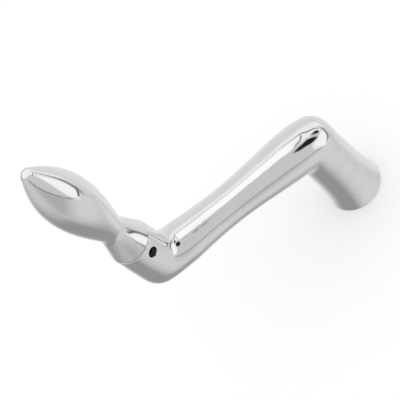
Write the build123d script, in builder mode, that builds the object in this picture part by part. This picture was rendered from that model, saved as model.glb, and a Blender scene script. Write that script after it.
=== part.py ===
from build123d import *
import os
from math import cos, exp, radians, sin, sqrt, tan

os.makedirs("parts", exist_ok=True)

# Offset crank handle with a revolving grip. Lengths are in millimetres, angles in degrees.
# The hub bore lies on the Z axis with its mounting face on Z = 0. The grip turns about a second
# axis, parallel to it at X = crank_radius, and stands on the side away from the mounting face.

# ---- Crank arm: one casting of hub, arm and boss ----
crank_radius = 100.0          # hub axis to grip axis
hub_height = 60.0             # mounting face to the centre of the hub elbow
arm_rise = 30.0               # hub elbow centre to boss elbow centre, along the hub axis
boss_height = 29.0            # boss elbow centre to the face that the grip runs on
hub_mouth_radius = 17.0       # outside of the hub at the mounting face
hub_neck_radius = 14.1        # outside of the hub above its flare
flare_reach = 13.5            # height in which the flare dies away to about a third
arm_waist_radius = 10.8       # thinnest round section of the arm
arm_waist_place = 0.56        # place of that section, as a share of the arm from the hub
boss_elbow_radius = 12.9      # outside of the boss at its elbow
boss_mouth_radius = 12.3      # outside of the boss at the grip
hub_crease_radius = 4.0       # hollow on the inner side of the hub elbow
boss_crease_radius = 7.5      # hollow on the inner side of the boss elbow
land_run = 6.0                # where the hub elbow's ground land starts, along the arm
land_slope = 7.0              # slope of the land against the arm
mouth_round = 1.0             # rounding of the hub's outer rim
seam_round = 0.5              # rounding of the boss and grip rims where they meet

# ---- Hub bore ----
hub_bore_radius = 7.0
hub_bore_depth = 42.0
hub_bore_chamfer = 1.0
drill_half_angle = 59.0       # point of the drills that leave the blind bores

# ---- Grip: one turned piece ----
grip_length = 87.6
grip_rim_radius = 12.25       # foot of the skirt, in line with the boss
skirt_half_angle = 16.0       # slope of the skirt at its foot
waist_radius = 7.75           # where the skirt meets the belly
waist_height = 17.7
waist_skirt_angle = 8.0       # slope of the skirt at the waist
waist_belly_angle = 12.0      # slope of the belly at the waist
waist_round = 12.0            # easing of the corner there
shoulder_radius = 11.3        # half way out to the belly
shoulder_height = 33.0
belly_radius = 13.65
belly_height = 53.0
nose_radius = 9.8             # where the belly turns into the tapering nose
nose_height = 74.0
tip_radius = 3.2              # small blunt end
tip_half_angle = 28.5         # slope of the nose where it meets the blunt end
tip_round = 1.5
seam_gap = 0.3                # running gap between the boss face and the grip

# ---- Spindle that carries the grip ----
spindle_radius = 5.0
spindle_seat = 25.0           # length held in the boss
spindle_reach = 62.0          # length that stands in the grip
spindle_chamfer = 0.8
spindle_fit = 0.02            # radial clearance in the boss
running_fit = 0.05            # radial clearance in the grip
bore_end_gap = 2.0            # free depth past each end of the spindle
bore_mouth_chamfer = 0.6

# ---- Snap ring that keeps the grip on the spindle ----
ring_wire_radius = 0.6
ring_inset = 7.0              # below the top end of the spindle
ring_opening = 60.0           # angle left open between the ring's ends
ring_clearance = 0.12

# ---- Set screw that holds the spindle in the boss ----
screw_radius = 3.0
screw_length = 6.0
screw_drop = 6.2              # screw axis below the boss face
screw_azimuth = 110.0         # direction of the screw about the grip axis, from +X
screw_fit = 0.03              # radial clearance in its tapped hole
screw_seat_depth = 0.5        # flat spot in the spindle under the screw's point
screw_point_gap = 0.02
screw_end_chamfer = 0.6
hex_flats = 3.0
hex_depth = 2.6
hole_mouth_chamfer = 0.3

# ---- Places worked out from the sizes above ----
boss_elbow_height = hub_height + arm_rise
boss_face_height = boss_elbow_height + boss_height
grip_foot_height = boss_face_height + seam_gap
hub_elbow = Vector(0, 0, hub_height)
boss_elbow = Vector(crank_radius, 0, boss_elbow_height)
arm_length = (boss_elbow - hub_elbow).length
arm_direction = (boss_elbow - hub_elbow).normalized()
hub_direction = Vector(0, 0, 1)
crank_normal = Vector(0, 1, 0)
hub_side = crank_normal.cross(hub_direction)        # from the hub towards the boss
arm_side = crank_normal.cross(arm_direction)        # from the arm towards the mounting face
grip_axis = Axis((crank_radius, 0, 0), (0, 0, 1))


def axial_plane(height):
    """Plane through the grip axis: local x is the radius, local y the height above the given one."""
    return Plane(origin=(crank_radius, 0, height), x_dir=(1, 0, 0), z_dir=(0, -1, 0))


def slope_up(angle):
    """Direction of a profile that climbs and leans outwards by the given angle."""
    return (sin(radians(angle)), cos(radians(angle)))


def ease(share):
    """Rise from 0 to 1 with level ends."""
    return share * share * (3 - 2 * share)


def hub_radius(height):
    """Outside of the hub: a flare that dies away above the mounting face."""
    return hub_neck_radius + (hub_mouth_radius - hub_neck_radius) * exp(-height / flare_reach)


def arm_radius(run):
    """Outside of the arm, by the distance from the hub elbow: thinnest at the waist."""
    share = run / arm_length
    if share < arm_waist_place:
        before = 1 - share / arm_waist_place
        return arm_waist_radius + (hub_neck_radius - arm_waist_radius) * ease(before)
    beyond = (share - arm_waist_place) / (1 - arm_waist_place)
    return arm_waist_radius + (boss_elbow_radius - arm_waist_radius) * ease(beyond)


def boss_radius(height):
    """Outside of the boss, by the height above its elbow: a slight draft."""
    return boss_elbow_radius + (boss_mouth_radius - boss_elbow_radius) * height / boss_height


class Elbow:
    """A tight bend of the casting: a ball on the outer side, a small hollow on the inner side."""

    def __init__(
        self, corner, travel_in, travel_out, inner_in, inner_out, radius_in, radius_out, crease_radius
    ):
        self.corner = corner
        self.travel_in = travel_in
        self.travel_out = travel_out
        self.inner_in = inner_in
        self.inner_out = inner_out
        self.radius_in = radius_in
        self.radius_out = radius_out
        self.crease_radius = crease_radius
        self.land = None
        reach_in = radius_in + crease_radius
        reach_out = radius_out + crease_radius
        slide = (reach_out - inner_in.dot(inner_out) * reach_in) / travel_in.dot(inner_out)
        self.hollow = corner + inner_in * reach_in + travel_in * slide
        self.run_in = -slide
        self.run_out = (self.hollow - corner).dot(travel_out)

    def outer_reach(self, outward):
        """Distance from the middle of the hollow to the elbow's outer side."""
        reach = self.ball_reach(outward)
        if self.land is not None and outward.dot(self.land.z_dir) > 0:
            to_land = (self.land.origin - self.hollow).dot(self.land.z_dir)
            reach = min(reach, to_land / outward.dot(self.land.z_dir))
        return reach

    def ball_reach(self, outward):
        """The same distance without the land: two straight sides and the ball between them."""
        reach_in = (2 * self.radius_in + self.crease_radius) / -outward.dot(self.inner_in)
        if (self.hollow + outward * reach_in - self.corner).dot(self.travel_in) <= 0:
            return reach_in
        reach_out = (2 * self.radius_out + self.crease_radius) / -outward.dot(self.inner_out)
        if (self.hollow + outward * reach_out - self.corner).dot(self.travel_out) >= 0:
            return reach_out
        ball_radius = (self.radius_in + self.radius_out) / 2
        to_corner = self.corner - self.hollow
        ahead = outward.dot(to_corner)
        return ahead + sqrt(ball_radius ** 2 - to_corner.dot(to_corner) + ahead ** 2)

    def sections(self, count):
        """Oval sections on planes that fan about the middle of the hollow."""
        turn = self.travel_in.get_signed_angle(self.travel_out, crank_normal)
        fan = []
        for step in range(count):
            share = step / (count - 1)
            travel = self.travel_in.rotate(Axis.Y, turn * share)
            outward = (self.inner_in * -1).rotate(Axis.Y, turn * share)
            reach = self.outer_reach(outward)
            middle = self.hollow + outward * ((reach + self.crease_radius) / 2)
            plane = Plane(origin=middle, x_dir=crank_normal.cross(travel), z_dir=travel)
            half_width = self.radius_in + (self.radius_out - self.radius_in) * share
            fan.append((plane, (reach - self.crease_radius) / 2, half_width))
        return fan


def round_sections(start, travel, runs, radius_law):
    """Round sections square to a straight stretch, at the given distances from its start."""
    side = crank_normal.cross(travel)
    stretch = []
    for run in runs:
        radius = radius_law(run)
        stretch.append((Plane(origin=start + travel * run, x_dir=side, z_dir=travel), radius, radius))
    return stretch


def spaced(first, last, shares):
    """Distances that lie between two others at the given shares."""
    return [first + (last - first) * share for share in shares]


# Both elbows start and end where the hollow's middle stands square to the straight stretches.
elbow_turn = radians(hub_direction.get_angle(arm_direction))
hub_elbow_run = (hub_neck_radius + hub_crease_radius) * tan(elbow_turn / 2)
boss_elbow_run = (boss_elbow_radius + boss_crease_radius) * tan(elbow_turn / 2)
hub_bend = Elbow(
    hub_elbow,
    hub_direction,
    arm_direction,
    hub_side,
    arm_side,
    hub_radius(hub_height - hub_elbow_run),
    arm_radius(hub_elbow_run),
    hub_crease_radius,
)
boss_bend = Elbow(
    boss_elbow,
    arm_direction,
    hub_direction,
    arm_side * -1,
    hub_side * -1,
    arm_radius(arm_length - boss_elbow_run),
    boss_radius(boss_elbow_run),
    boss_crease_radius,
)

# A shallow land, ground over the hub elbow's outer side, leads from the arm into the ball.
hub_bend.land = Plane(
    origin=hub_elbow + arm_direction * land_run - arm_side * arm_radius(land_run),
    z_dir=(arm_side * -1).rotate(Axis.Y, -land_slope),
)
hub_runs = spaced(0, hub_height - hub_bend.run_in, [0, 0.08, 0.18, 0.31, 0.47, 0.65, 0.84])
arm_runs = spaced(hub_bend.run_out, arm_length - boss_bend.run_in, [0.14, 0.28, 0.42, 0.56, 0.7, 0.85])
boss_runs = spaced(boss_bend.run_out, boss_height, [0.5, 0.94, 1])

# The hub, both elbows, the arm and the boss are one smooth loft, then drilled and tapped.
with BuildPart() as crank_arm:
    casting_sections = (
        round_sections(Vector(0, 0, 0), hub_direction, hub_runs, hub_radius)
        + hub_bend.sections(9)
        + round_sections(hub_elbow, arm_direction, arm_runs, arm_radius)
        + boss_bend.sections(7)
        + round_sections(boss_elbow, hub_direction, boss_runs, boss_radius)
    )
    for section_plane, half_length, half_width in casting_sections:
        with BuildSketch(section_plane):
            Ellipse(half_length, half_width)
    loft()
    fillet(crank_arm.edges().group_by(Axis.Z)[0], mouth_round)
    fillet(crank_arm.edges().group_by(Axis.Z)[-1], seam_round)

    # Blind hub bore with a lead-in chamfer and a drill point.
    with BuildSketch(Plane.XZ):
        with BuildLine():
            Polyline(
                (0, 0),
                (hub_bore_radius + hub_bore_chamfer, 0),
                (hub_bore_radius, hub_bore_chamfer),
                (hub_bore_radius, hub_bore_depth),
                (0, hub_bore_depth + hub_bore_radius / tan(radians(drill_half_angle))),
                close=True,
            )
        make_face()
    revolve(axis=Axis.Z, mode=Mode.SUBTRACT)

    # Blind seat for the spindle, drilled from the boss face.
    seat_radius = spindle_radius + spindle_fit
    seat_depth = spindle_seat + bore_end_gap
    with BuildSketch(axial_plane(boss_face_height)):
        with BuildLine():
            Polyline(
                (0, 0),
                (seat_radius + bore_mouth_chamfer, 0),
                (seat_radius, -bore_mouth_chamfer),
                (seat_radius, -seat_depth),
                (0, -seat_depth - seat_radius / tan(radians(drill_half_angle))),
                close=True,
            )
        make_face()
    revolve(axis=grip_axis, mode=Mode.SUBTRACT)

    # Tapped hole for the set screw, from the spindle seat out through the side of the boss.
    screw_height = boss_face_height - screw_drop
    screw_direction = Vector(cos(radians(screw_azimuth)), sin(radians(screw_azimuth)), 0)
    screw_start = Vector(crank_radius, 0, screw_height)
    screw_normal = Vector(0, 0, 1).cross(screw_direction)
    screw_section = Plane(origin=screw_start, x_dir=(0, 0, 1), z_dir=screw_normal)
    hole_mouth = boss_radius(boss_height - screw_drop)
    with BuildSketch(screw_section):
        with BuildLine():
            Polyline(
                (0, 0),
                (screw_radius, 0),
                (screw_radius, hole_mouth - hole_mouth_chamfer),
                (screw_radius + 2 * hole_mouth_chamfer, hole_mouth + hole_mouth_chamfer),
                (0, hole_mouth + hole_mouth_chamfer),
                close=True,
            )
        make_face()
    revolve(axis=Axis(screw_start, screw_direction), mode=Mode.SUBTRACT)

crank_arm.part.label = "crank_arm"
export_step(crank_arm.part, "parts/crank_arm.step")

# Grip: a skirt that meets the boss, a narrow waist, a full belly and a tapering nose with a blunt end.
with BuildPart() as grip:
    with BuildSketch(axial_plane(grip_foot_height)):
        with BuildLine():
            Spline(
                (grip_rim_radius, 0),
                (waist_radius, waist_height),
                tangents=[slope_up(-skirt_half_angle), slope_up(-waist_skirt_angle)],
            )
            Spline(
                (waist_radius, waist_height),
                (shoulder_radius, shoulder_height),
                (belly_radius, belly_height),
                (nose_radius, nose_height),
                (tip_radius, grip_length),
                tangents=[slope_up(waist_belly_angle), slope_up(-tip_half_angle)],
            )
            Polyline((tip_radius, grip_length), (0, grip_length), (0, 0), (grip_rim_radius, 0))
        make_face()
    revolve(axis=grip_axis)
    fillet(grip.edges().filter_by(GeomType.CIRCLE).group_by(Axis.Z)[1], waist_round)
    fillet(grip.edges().filter_by(GeomType.CIRCLE).group_by(Axis.Z)[0], seam_round)
    fillet(grip.edges().filter_by(GeomType.CIRCLE).group_by(Axis.Z)[-1], tip_round)

    # Blind bore that runs on the spindle, with the groove for the snap ring.
    bore_radius = spindle_radius + running_fit
    bore_depth = spindle_reach - seam_gap + bore_end_gap
    ring_height = spindle_reach - seam_gap - ring_inset
    ring_half_slot = ring_wire_radius + ring_clearance
    ring_mid_radius = spindle_radius + running_fit / 2
    with BuildSketch(axial_plane(grip_foot_height)):
        with BuildLine():
            Polyline(
                (0, 0),
                (bore_radius + bore_mouth_chamfer, 0),
                (bore_radius, bore_mouth_chamfer),
                (bore_radius, ring_height - ring_half_slot),
                (ring_mid_radius + ring_half_slot, ring_height - ring_half_slot),
                (ring_mid_radius + ring_half_slot, ring_height + ring_half_slot),
                (bore_radius, ring_height + ring_half_slot),
                (bore_radius, bore_depth),
                (0, bore_depth + bore_radius / tan(radians(drill_half_angle))),
                close=True,
            )
        make_face()
    revolve(axis=grip_axis, mode=Mode.SUBTRACT)
grip.part.label = "grip"
export_step(grip.part, "parts/grip.step")

# Spindle: a turned pin with a groove for the snap ring and a flat spot for the set screw.
with BuildPart() as grip_spindle:
    with BuildSketch(axial_plane(boss_face_height)):
        groove_height = seam_gap + ring_height
        with BuildLine():
            Polyline(
                (0, -spindle_seat),
                (spindle_radius - spindle_chamfer, -spindle_seat),
                (spindle_radius, -spindle_seat + spindle_chamfer),
                (spindle_radius, groove_height - ring_half_slot),
                (ring_mid_radius - ring_half_slot, groove_height - ring_half_slot),
                (ring_mid_radius - ring_half_slot, groove_height + ring_half_slot),
                (spindle_radius, groove_height + ring_half_slot),
                (spindle_radius, spindle_reach - spindle_chamfer),
                (spindle_radius - spindle_chamfer, spindle_reach),
                (0, spindle_reach),
                close=True,
            )
        make_face()
    revolve(axis=grip_axis)
    screw_tip = spindle_radius - screw_seat_depth
    with BuildSketch(Plane(origin=screw_start + screw_direction * screw_tip, z_dir=screw_direction)):
        Circle(screw_radius)
    extrude(amount=2 * screw_seat_depth, mode=Mode.SUBTRACT)
grip_spindle.part.label = "grip_spindle"
export_step(grip_spindle.part, "parts/grip_spindle.step")

# Snap ring: round spring wire bent to an open circle, half in the spindle and half in the grip.
with BuildPart() as snap_ring:
    with BuildSketch(axial_plane(grip_foot_height)):
        with Locations((ring_mid_radius, ring_height)):
            Circle(ring_wire_radius)
    revolve(axis=grip_axis, revolution_arc=360 - ring_opening)
snap_ring.part.label = "snap_ring"
export_step(snap_ring.part, "parts/snap_ring.step")

# Set screw: headless, with a chamfer at both ends and a hexagon socket.
with BuildPart() as set_screw:
    screw_body_radius = screw_radius - screw_fit
    point = screw_tip + screw_point_gap
    with BuildSketch(screw_section):
        with BuildLine():
            Polyline(
                (0, point),
                (screw_body_radius - screw_end_chamfer, point),
                (screw_body_radius, point + screw_end_chamfer),
                (screw_body_radius, point + screw_length - screw_end_chamfer),
                (screw_body_radius - screw_end_chamfer, point + screw_length),
                (0, point + screw_length),
                close=True,
            )
        make_face()
    revolve(axis=Axis(screw_start, screw_direction))
    socket_mouth = screw_start + screw_direction * (point + screw_length)
    with BuildSketch(Plane(origin=socket_mouth, x_dir=(0, 0, 1), z_dir=screw_direction)):
        RegularPolygon(hex_flats / 2, 6, major_radius=False)
    extrude(amount=-hex_depth, mode=Mode.SUBTRACT)
set_screw.part.label = "set_screw"
export_step(set_screw.part, "parts/set_screw.step")
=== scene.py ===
import math

import bpy
from mathutils import Matrix, Vector

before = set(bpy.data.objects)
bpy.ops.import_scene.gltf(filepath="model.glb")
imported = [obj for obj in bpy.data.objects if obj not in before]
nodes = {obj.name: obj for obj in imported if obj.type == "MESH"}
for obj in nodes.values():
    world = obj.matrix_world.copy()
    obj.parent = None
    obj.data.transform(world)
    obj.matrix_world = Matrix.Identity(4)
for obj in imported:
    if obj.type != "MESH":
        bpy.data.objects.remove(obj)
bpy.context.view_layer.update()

WHITE = (1, 1, 1, 1)

# ---- Camera: where it stands, where it looks and how it is held ----
CAMERA_PLACE = Vector((0.0213, 0.4339, 0.6414))
CAMERA_FORWARD = Vector((0.05717, -0.62258, -0.78047)).normalized()
CAMERA_RIGHT = Vector((-0.65745, 0.56483, -0.49872)).normalized()
CAMERA_LENS = 120.25          # mm
SENSOR_WIDTH = 36.0           # mm
CLIP_END = 20.0               # m

# ---- Room: a white world and a white floor with the object's shadow ----
WORLD_STRENGTH = 1.0
FLOOR_COLOUR = (0.86, 0.86, 0.86, 1)
FLOOR_LIFT = 0.17             # glow for the camera alone, which takes the floor to white
FLOOR_RADIUS = 3.0            # m
FLOOR_SIDES = 128
FLOOR_HEIGHT = -0.0002        # m, a hair under the hub's mounting face at 0

# ---- Light tent: a sphere around the object, seen only in the polished metal ----
# Its soft-edged sheets lie over each other in the order of this list. Two angles from the camera,
# as the tent's centre sees it, place a sheet's middle: degrees to the camera's right and degrees
# down. Then come its half length outward from the camera and its half breadth across that, in
# degrees, the turn of both in degrees, the softness of its edge, its brightness and its corner
# power (2 is round, 4 nearly square).
TENT_CENTRE = Vector((0.05, 0.0, 0.09))
TENT_RADIUS = 0.65            # m
TENT_SUBDIVISIONS = 5
TENT_GREY = 0.50              # brightness where no sheet hangs
OUTWARD_STEP = 0.5            # degrees, the step that finds a sheet's outward direction
SHEETS = [
    ("roof", 0, -100, 60, 80, 0, 0.20, 0.80, 2),
    ("back", 130, -120, 60, 60, 0, 0.30, 0.85, 2),
    ("table", 0, 125, 30, 60, 0, 0.60, 0.35, 2),
    ("right_side", 90, 20, 30, 60, 0, 0.60, 0.75, 2),
    ("left_side", -70, 30, 40, 60, 0, 0.60, 0.70, 2),
    ("lit_wall", 25, -70, 15, 60, 15, 0.40, 1.00, 3),
    ("tip_card", -65, -40, 10, 12, 0, 0.20, 1.05, 2),
    ("tip_shade", -93, -15, 9, 36, 0, 0.40, 0.20, 2),
    ("front_seam", 10, -4, 73, 44, 0, 0.03, 0.20, 3),
    ("front", 10, -4, 71, 42, 0, 0.04, 0.68, 3),
    ("front_corner", 77, -42, 8, 20, 30, 0.50, 0.30, 2),
    ("lamp_right", 64, -14, 22, 25, 15, 0.20, 1.10, 2),
    ("front_edge", 86, -14, 2, 13, -25, 0.60, 0.15, 2),
    ("lamp_left", -10, -38, 15, 22, 0, 0.20, 1.20, 3),
    ("lamp_middle", 20, -48, 12, 20, 30, 0.20, 1.00, 3),
    ("lamp_rim", 10, -58, 2, 22, 0, 0.50, 0.10, 2),
    ("lamp_gap", 3, -43, 1, 17, 120, 0.50, 0.40, 2),
    ("camera_body", 28, -20, 9, 12, 30, 0.15, 0.02, 2),
    ("camera_hood", 30, -40, 5, 7, 0, 0.45, 0.02, 2),
]

# ---- Finishes: scales are per metre, depths in metres ----
PLATE_COLOUR = (0.82, 0.82, 0.82)
PLATE_ROUGHNESS = 0.02
PLATE_MARKS_SCALE = 900.0
PLATE_MARKS_SPREAD = (0.35, 0.75)       # the noise values between which the marks show
PLATE_MARKS_EFFECT = (0.7, 1.5)         # times the roughness, where it is lowest and highest
PLATE_WAVE_DEPTH = 0.00001
PLATE_TONE_SPREAD = (0.3, 0.7)
PLATE_TONES = (0.97, 1.0)               # times the colour, where it is darkest and lightest
ARM_WAVE_SCALE = 90.0
GRIP_WAVE_SCALE = 70.0
STEEL_GRAIN_SCALE = 1500.0
STEEL_GRAIN_STRENGTH = 0.5
STEEL_GRAIN_DEPTH = 0.00002
STEEL_GRAIN_EFFECT = (0.7, 1.4)         # times the roughness
STEEL_DARK = 0.7                        # times the colour
STEEL_LIGHT = 1.3                       # times the colour


class Graph:
    """Short calls for building a shader's node tree."""

    def __init__(self, tree):
        self.tree = tree

    def node(self, kind, inputs=None, **settings):
        new = self.tree.nodes.new(kind)
        for name, value in settings.items():
            setattr(new, name, value)
        for key, value in (inputs or {}).items():
            if hasattr(value, "is_output"):
                self.tree.links.new(value, new.inputs[key])
            else:
                new.inputs[key].default_value = value
        return new

    def math(self, operation, a, b=0.0):
        return self.node("ShaderNodeMath", {0: a, 1: b}, operation=operation).outputs[0]

    def dot(self, a, b):
        new = self.node("ShaderNodeVectorMath", {0: a, 1: b}, operation="DOT_PRODUCT")
        return new.outputs["Value"]

    def place(self):
        return self.node("ShaderNodeTexCoord").outputs["Object"]

    def noise(self, place, scale, detail, roughness):
        inputs = {"Vector": place, "Scale": scale, "Detail": detail, "Roughness": roughness}
        return self.node("ShaderNodeTexNoise", inputs).outputs[0]

    def bump(self, height, strength, depth):
        inputs = {"Strength": strength, "Distance": depth, "Height": height}
        return self.node("ShaderNodeBump", inputs).outputs[0]

    def map_range(self, value, source, target, **settings):
        inputs = {
            "Value": value,
            "From Min": source[0],
            "From Max": source[1],
            "To Min": target[0],
            "To Max": target[1],
        }
        return self.node("ShaderNodeMapRange", inputs, **settings).outputs["Result"]

    def surface(self, colour, metallic, roughness, normal):
        inputs = {
            "Base Color": colour,
            "Metallic": metallic,
            "Roughness": roughness,
            "Normal": normal,
        }
        self.output(self.node("ShaderNodeBsdfPrincipled", inputs))

    def output(self, shader):
        self.node("ShaderNodeOutputMaterial", {"Surface": shader.outputs[0]})


def new_material(name):
    material = bpy.data.materials.new(name)
    material.use_nodes = True
    material.node_tree.nodes.clear()
    return material, Graph(material.node_tree)


# ---- Light tent ----


def tent_direction(right, down):
    """The direction from the tent's centre so many degrees to the camera's right and down."""
    angle = math.radians(math.hypot(right, down))
    turn = math.atan2(down, right)
    across = math.sin(angle) * math.cos(turn) * CAMERA_RIGHT
    below = math.sin(angle) * math.sin(turn) * CAMERA_FORWARD.cross(CAMERA_RIGHT)
    return across + below - math.cos(angle) * CAMERA_FORWARD


def sheet_mask(graph, direction, right, down, half_length, half_breadth, turn, softness, corner):
    """1 inside a sheet of the tent and 0 outside, for each direction from the tent's centre."""
    middle = tent_direction(right, down)
    step = 1 + OUTWARD_STEP / math.hypot(right, down)
    outward = tent_direction(right * step, down * step) - middle
    outward = (outward - middle * outward.dot(middle)).normalized()
    across = middle.cross(outward)
    angle = math.radians(turn)
    length_axis = outward * math.cos(angle) + across * math.sin(angle)
    breadth_axis = across * math.cos(angle) - outward * math.sin(angle)
    along = graph.math("ARCTAN2", graph.dot(direction, length_axis), graph.dot(direction, middle))
    aside = graph.math("ARCSINE", graph.dot(direction, breadth_axis))
    along = graph.math("ABSOLUTE", graph.math("DIVIDE", along, math.radians(half_length)))
    aside = graph.math("ABSOLUTE", graph.math("DIVIDE", aside, math.radians(half_breadth)))
    along = graph.math("POWER", along, corner)
    aside = graph.math("POWER", aside, corner)
    reach = graph.math("POWER", graph.math("ADD", along, aside), 1 / corner)
    edge = (1 - softness, 1 + softness)
    return graph.map_range(reach, edge, (1.0, 0.0), interpolation_type="SMOOTHSTEP")


def tent_material():
    material, graph = new_material("tent_cloth")
    place = graph.place()
    direction = graph.node("ShaderNodeVectorMath", {0: place}, operation="NORMALIZE").outputs[0]
    brightness = TENT_GREY
    for name, right, down, length, breadth, turn, softness, value, corner in SHEETS:
        mask = sheet_mask(graph, direction, right, down, length, breadth, turn, softness, corner)
        inputs = {"Factor": mask, "A": brightness, "B": value}
        mix = graph.node("ShaderNodeMix", inputs, data_type="FLOAT")
        mix.label = name
        brightness = mix.outputs["Result"]
    graph.output(graph.node("ShaderNodeEmission", {"Color": WHITE, "Strength": brightness}))
    material.cycles.emission_sampling = "NONE"
    return material


def add_tent():
    bpy.ops.mesh.primitive_ico_sphere_add(
        subdivisions=TENT_SUBDIVISIONS, radius=TENT_RADIUS, location=TENT_CENTRE
    )
    tent = bpy.context.object
    tent.name = "light_tent"
    for face in tent.data.polygons:
        face.use_smooth = True
    tent.data.materials.append(tent_material())
    tent.visible_camera = False
    tent.visible_diffuse = False
    tent.visible_transmission = False
    tent.visible_shadow = False
    tent.visible_volume_scatter = False


# ---- Floor, world and camera ----


def add_floor():
    """White for the camera and hidden from glossy rays, which see the tent instead."""
    material, graph = new_material("pale_floor")
    ray = graph.node("ShaderNodeLightPath")
    cloth = graph.node("ShaderNodeBsdfDiffuse", {"Color": FLOOR_COLOUR})
    lift = graph.math("MULTIPLY", ray.outputs["Is Camera Ray"], FLOOR_LIFT)
    glow = graph.node("ShaderNodeEmission", {"Color": WHITE, "Strength": lift})
    graph.output(graph.node("ShaderNodeAddShader", {0: cloth.outputs[0], 1: glow.outputs[0]}))
    bpy.ops.mesh.primitive_circle_add(
        vertices=FLOOR_SIDES, radius=FLOOR_RADIUS, fill_type="NGON", location=(0, 0, FLOOR_HEIGHT)
    )
    floor = bpy.context.object
    floor.name = "floor"
    floor.data.materials.append(material)
    floor.visible_glossy = False


def add_world():
    world = bpy.data.worlds.new("studio")
    bpy.context.scene.world = world
    world.use_nodes = True
    world.node_tree.nodes.clear()
    graph = Graph(world.node_tree)
    back = graph.node("ShaderNodeBackground", {"Color": WHITE, "Strength": WORLD_STRENGTH})
    graph.node("ShaderNodeOutputWorld", {"Surface": back.outputs[0]})


def add_camera():
    data = bpy.data.cameras.new("camera")
    camera = bpy.data.objects.new("camera", data)
    bpy.context.scene.collection.objects.link(camera)
    up = CAMERA_RIGHT.cross(CAMERA_FORWARD)
    turn = Matrix((CAMERA_RIGHT, up, -CAMERA_FORWARD)).transposed().to_4x4()
    camera.matrix_world = Matrix.Translation(CAMERA_PLACE) @ turn
    data.sensor_width = SENSOR_WIDTH
    data.lens = CAMERA_LENS
    data.clip_end = CLIP_END
    bpy.context.scene.camera = camera


# ---- Finishes ----


def times(factors, value):
    return tuple(factor * value for factor in factors)


def chrome(name, wave_scale):
    """Polished plate with a trace of waviness and fine polishing marks."""
    material, graph = new_material(name)
    place = graph.place()
    wave = graph.noise(place, wave_scale, detail=1.0, roughness=0.4)
    bump = graph.bump(wave, strength=1.0, depth=PLATE_WAVE_DEPTH)
    marks = graph.noise(place, PLATE_MARKS_SCALE, detail=3.0, roughness=0.6)
    gloss = graph.map_range(
        marks, PLATE_MARKS_SPREAD, times(PLATE_MARKS_EFFECT, PLATE_ROUGHNESS)
    )
    tone = graph.map_range(wave, PLATE_TONE_SPREAD, PLATE_TONES)
    base = graph.node(
        "ShaderNodeMix",
        {"Factor": 1.0, "A": (*PLATE_COLOUR, 1), "B": tone},
        data_type="RGBA",
        blend_type="MULTIPLY",
    )
    graph.surface(base.outputs["Result"], metallic=1.0, roughness=gloss, normal=bump)
    return material


def plain_steel(name, colour, roughness, metallic):
    """Machined or blackened steel with fine uneven tone and marks."""
    material, graph = new_material(name)
    grain = graph.noise(graph.place(), STEEL_GRAIN_SCALE, detail=4.0, roughness=0.6)
    bump = graph.bump(grain, strength=STEEL_GRAIN_STRENGTH, depth=STEEL_GRAIN_DEPTH)
    gloss = graph.map_range(grain, (0.0, 1.0), times(STEEL_GRAIN_EFFECT, roughness))
    light = times(colour, STEEL_LIGHT)
    dark = times(colour, STEEL_DARK)
    base = graph.node(
        "ShaderNodeMix", {"Factor": grain, "A": (*dark, 1), "B": (*light, 1)}, data_type="RGBA"
    )
    graph.surface(base.outputs["Result"], metallic=metallic, roughness=gloss, normal=bump)
    return material


FINISHES = {
    "crank_arm": chrome("arm_plate", ARM_WAVE_SCALE),
    "grip": chrome("grip_plate", GRIP_WAVE_SCALE),
    "grip_spindle": plain_steel("ground_steel", (0.50, 0.50, 0.51), roughness=0.28, metallic=1.0),
    "snap_ring": plain_steel("spring_wire_steel", (0.30, 0.30, 0.31), roughness=0.35, metallic=1.0),
    "set_screw": plain_steel("black_oxide", (0.02, 0.02, 0.021), roughness=0.45, metallic=0.3),
}
for node_name, finish in FINISHES.items():
    for slot in nodes[node_name].material_slots:
        slot.material = finish

add_world()
add_tent()
add_floor()
add_camera()

bpy.context.scene.view_settings.view_transform = "Standard"
